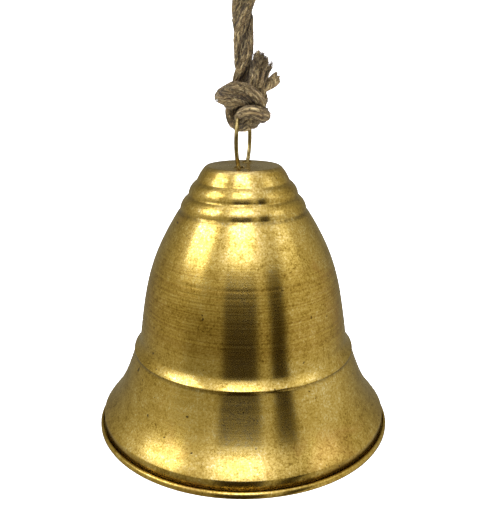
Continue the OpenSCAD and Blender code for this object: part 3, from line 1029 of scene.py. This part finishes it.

# %% [markdown]
# ## Jute
#
# Jute is a dry, dull fibre with a slight shine along its length. Its colour changes from yarn to yarn and in
# streaks along each yarn, and the grooves get painted shade. The streaks use the lay coordinates, which run
# round and along each strand, so they follow every turn of the knot. The groove height drives the painted
# shade.

# %% Jute
def jute():
    r = Recipe("jute_rope")
    ridge = r.node("Attribute")
    ridge.attribute_name = "ridge"
    lay = r.node("UVMap")
    lay.uv_map = "lay"
    streak = r.noise(1.0, 6, 0.75, r.stretched(lay.outputs["UV"], (15, 1.6, 1)))
    hair = r.noise(1.0, 5, 0.75, r.stretched(lay.outputs["UV"], (44, 5, 1)))
    patch = r.noise(85, 4, 0.6)
    fleck = r.noise(340, 4, 0.75)
    fibre = r.plus(r.times(streak, 0.5), r.times(hair, 0.5))
    colour = r.ramp(fibre, [
        (0.39, (0.026, 0.014, 0.004)), (0.46, (0.16, 0.098, 0.034)), (0.52, (0.42, 0.295, 0.118)),
        (0.58, (0.95, 0.77, 0.39)),
    ])
    colour = r.mix(r.ramp(patch, [(0.40, 0.0), (0.62, 0.25)]), colour, (0.34, 0.235, 0.105))
    # Painted shade: the ridge attribute darkens the grooves between yarns and the sides where strands meet;
    # on the loose fibres it carries their own tone.
    crevice_shade_and_fibre_tone = r.ramp(ridge.outputs["Fac"], [(0.05, 0.06), (0.40, 0.55), (0.85, 1.0)])
    colour = r.mix(0.95, colour, crevice_shade_and_fibre_tone, "MULTIPLY")
    colour = r.mix(r.ramp(fleck, [(0.53, 0.0), (0.62, 0.8)]), colour, (0.036, 0.022, 0.010))
    n = r.bump(hair, 0.8, 0.0010, r.bump(streak, 0.7, 0.0015))
    n = r.bump(fleck, 0.5, 0.0009, n)
    return r.finish(Base_Color=colour, Normal=n, Roughness=0.9, Sheen_Weight=0.10, Sheen_Roughness=0.5)


jute_finish = jute()
for piece in (rope, ring_hitch, loop_wrap, ring_broom, loop_broom, rope_fluff):
    dress(piece, jute_finish)

# %% [markdown]
# ## Floor, backdrop and light
#
# Metal shows its surroundings more than its own colour. The room is bright above the front and at the left,
# dimmer at the right and behind, and dark where the camera stands, so the front of the barrel carries dark
# upright bands between bright ones. A pale floor that curves up into a backdrop keeps the rest plain. The
# floor glows a little, as paper does under strong light, and it doesn't show in the metal.

# %% The floor and its curve
def sweep_floor(z, half_width, front, back, curve_r, top):
    """A floor that curves up into a wall: a profile of (y, z) points carried sideways."""
    bend = np.radians(np.linspace(0, 90, 24))
    y = np.concatenate([[front], back + curve_r * np.sin(bend), [back + curve_r]])
    up = np.concatenate([[z], z + curve_r * (1 - np.cos(bend)), [z + top]])
    x = np.linspace(-half_width, half_width, 9)
    grid = np.stack(np.broadcast_arrays(x[None, :], y[:, None], up[:, None]), -1)
    rows, cols = grid.shape[:2]
    quads = ring_faces(rows, cols).reshape(rows - 1, cols, 4)[:, :-1]
    return new_object("floor", grid.reshape(-1, 3), quads.reshape(-1, 4).tolist())


floor = sweep_floor(MOUTH_Z - 0.42, half_width=5.0, front=-5.0, back=1.6, curve_r=0.9, top=3.0)
paper = Recipe("pale_paper")
tone = paper.ramp(paper.noise(3, 2, 0.5), [(0.3, 0.88), (0.7, 0.92)])
dress(floor, paper.finish(Base_Color=tone, Roughness=0.9, Emission_Color=(1, 1, 1), Emission_Strength=0.92))
floor.visible_glossy = False

# %% Soft lights
LAMP_COLOUR = (0.97, 1.0, 1.12)
LIT_PLACE = np.array([0, 0, MOUTH_Z + 0.16])


def softbox(name, bearing, rise, distance, size, power):
    """A square light that faces the bell. Bearing is 0 straight to the front and grows to the right, and rise
    is its angle above the horizon, both in degrees."""
    b, e = math.radians(bearing), math.radians(rise)
    way = np.array([math.sin(b) * math.cos(e), -math.cos(b) * math.cos(e), math.sin(e)])
    data = bpy.data.lights.new(name, "AREA")
    data.size = size
    data.energy = power
    data.color = LAMP_COLOUR
    lamp = bpy.data.objects.new(name, data)
    lamp.location = LIT_PLACE + way * distance
    lamp.rotation_euler = (math.radians(90 - rise), 0, b)
    lamp.visible_camera = False
    bpy.context.collection.objects.link(lamp)


softbox("left_light", -70, 38, 2.0, 1.1, 10)
softbox("front_light", -4, 56, 2.2, 1.1, 9)
softbox("right_light", 70, 30, 2.2, 0.9, 1.5)
print("lights placed")

# %% The room around: white to the eye, and for the metal to mirror, bright above and dark in front
def room():
    """World light by direction, the sum of a dim base, the sides, a bright front ceiling, a tall box at the
    left and a weak one at the right, with dark soft-edged sectors low at the front where the camera stands.
    Dim light is warm and bright light is a little cool. Bearings and rises are in degrees."""
    world = bpy.data.worlds.new("room")
    bpy.context.scene.world = world
    world.use_nodes = True
    g = Graph(world.node_tree)
    g.nodes.clear()

    def soft_step(value, start, end):
        node = g.node("MapRange", Value=value, From_Min=start, From_Max=end)
        node.interpolation_type = "SMOOTHSTEP"
        return node.outputs["Result"]

    def bell_curve(value, middle, width):
        offset = g.math("DIVIDE", g.math("SUBTRACT", value, middle), width)
        return g.math("EXPONENT", g.times(offset, offset, -1.0))

    def other(value):
        return g.math("SUBTRACT", 1.0, value)

    x, y, z = g.node("SeparateXYZ", Vector=g.node("TexCoord").outputs["Generated"]).outputs
    degrees = 180 / math.pi
    bearing = g.times(g.math("ARCTAN2", x, g.times(y, -1.0)), degrees)
    rise = g.times(g.math("ARCSINE", z), degrees)

    def dark_sector(low, high, edge, depth, up_to, fade):
        """What is left of the light in a sector of bearings, below a height."""
        left, right = soft_step(bearing, low - edge, low + edge), soft_step(bearing, high - edge, high + edge)
        below = other(soft_step(rise, up_to, up_to + fade))
        return other(g.times(g.times(left, other(right)), below, depth))

    sides = g.times(other(soft_step(g.math("ABSOLUTE", bearing), 95.0, 150.0)), 0.22)
    ahead = g.math("MAXIMUM", bell_curve(bearing, -3.0, 34.0), g.times(soft_step(rise, 55.0, 85.0), 0.5))
    ceiling = g.times(soft_step(rise, 16.0, 42.0), ahead, 2.1)
    left_box = g.times(bell_curve(bearing, -84.0, 22.0), soft_step(rise, 2.0, 36.0), 0.85)
    right_box = g.times(bell_curve(bearing, 74.0, 36.0), g.plus(soft_step(rise, 12.0, 45.0), 0.7), 0.30)
    light = g.times(
        g.plus(0.24, sides, ceiling, left_box, right_box),
        dark_sector(-22, 16, 3, 0.97, 25.0, 9.0),
        dark_sector(29, 48, 2.5, 0.98, 23.0, 9.0),
        dark_sector(-66, -22, 8, 0.35, -2.0, 16.0),
    )
    light = g.plus(light, 0.02)
    tint = g.mix(soft_step(light, 0.04, 0.2), (1.0, 0.68, 0.25), (1.0, 0.91, 0.62))
    tint = g.mix(soft_step(light, 0.3, 1.6), tint, (1.0, 1.01, 1.22))

    mirrored = g.node("Background", Color=tint, Strength=light)
    seen = g.node("Background", Color=(1, 1, 1))
    choose = g.node("MixShader", Fac=g.node("LightPath").outputs["Is Camera Ray"])
    g.plug(choose.inputs[1], mirrored.outputs[0])
    g.plug(choose.inputs[2], seen.outputs[0])
    g.node("OutputWorld", Surface=choose.outputs[0])


room()
print("room lit")
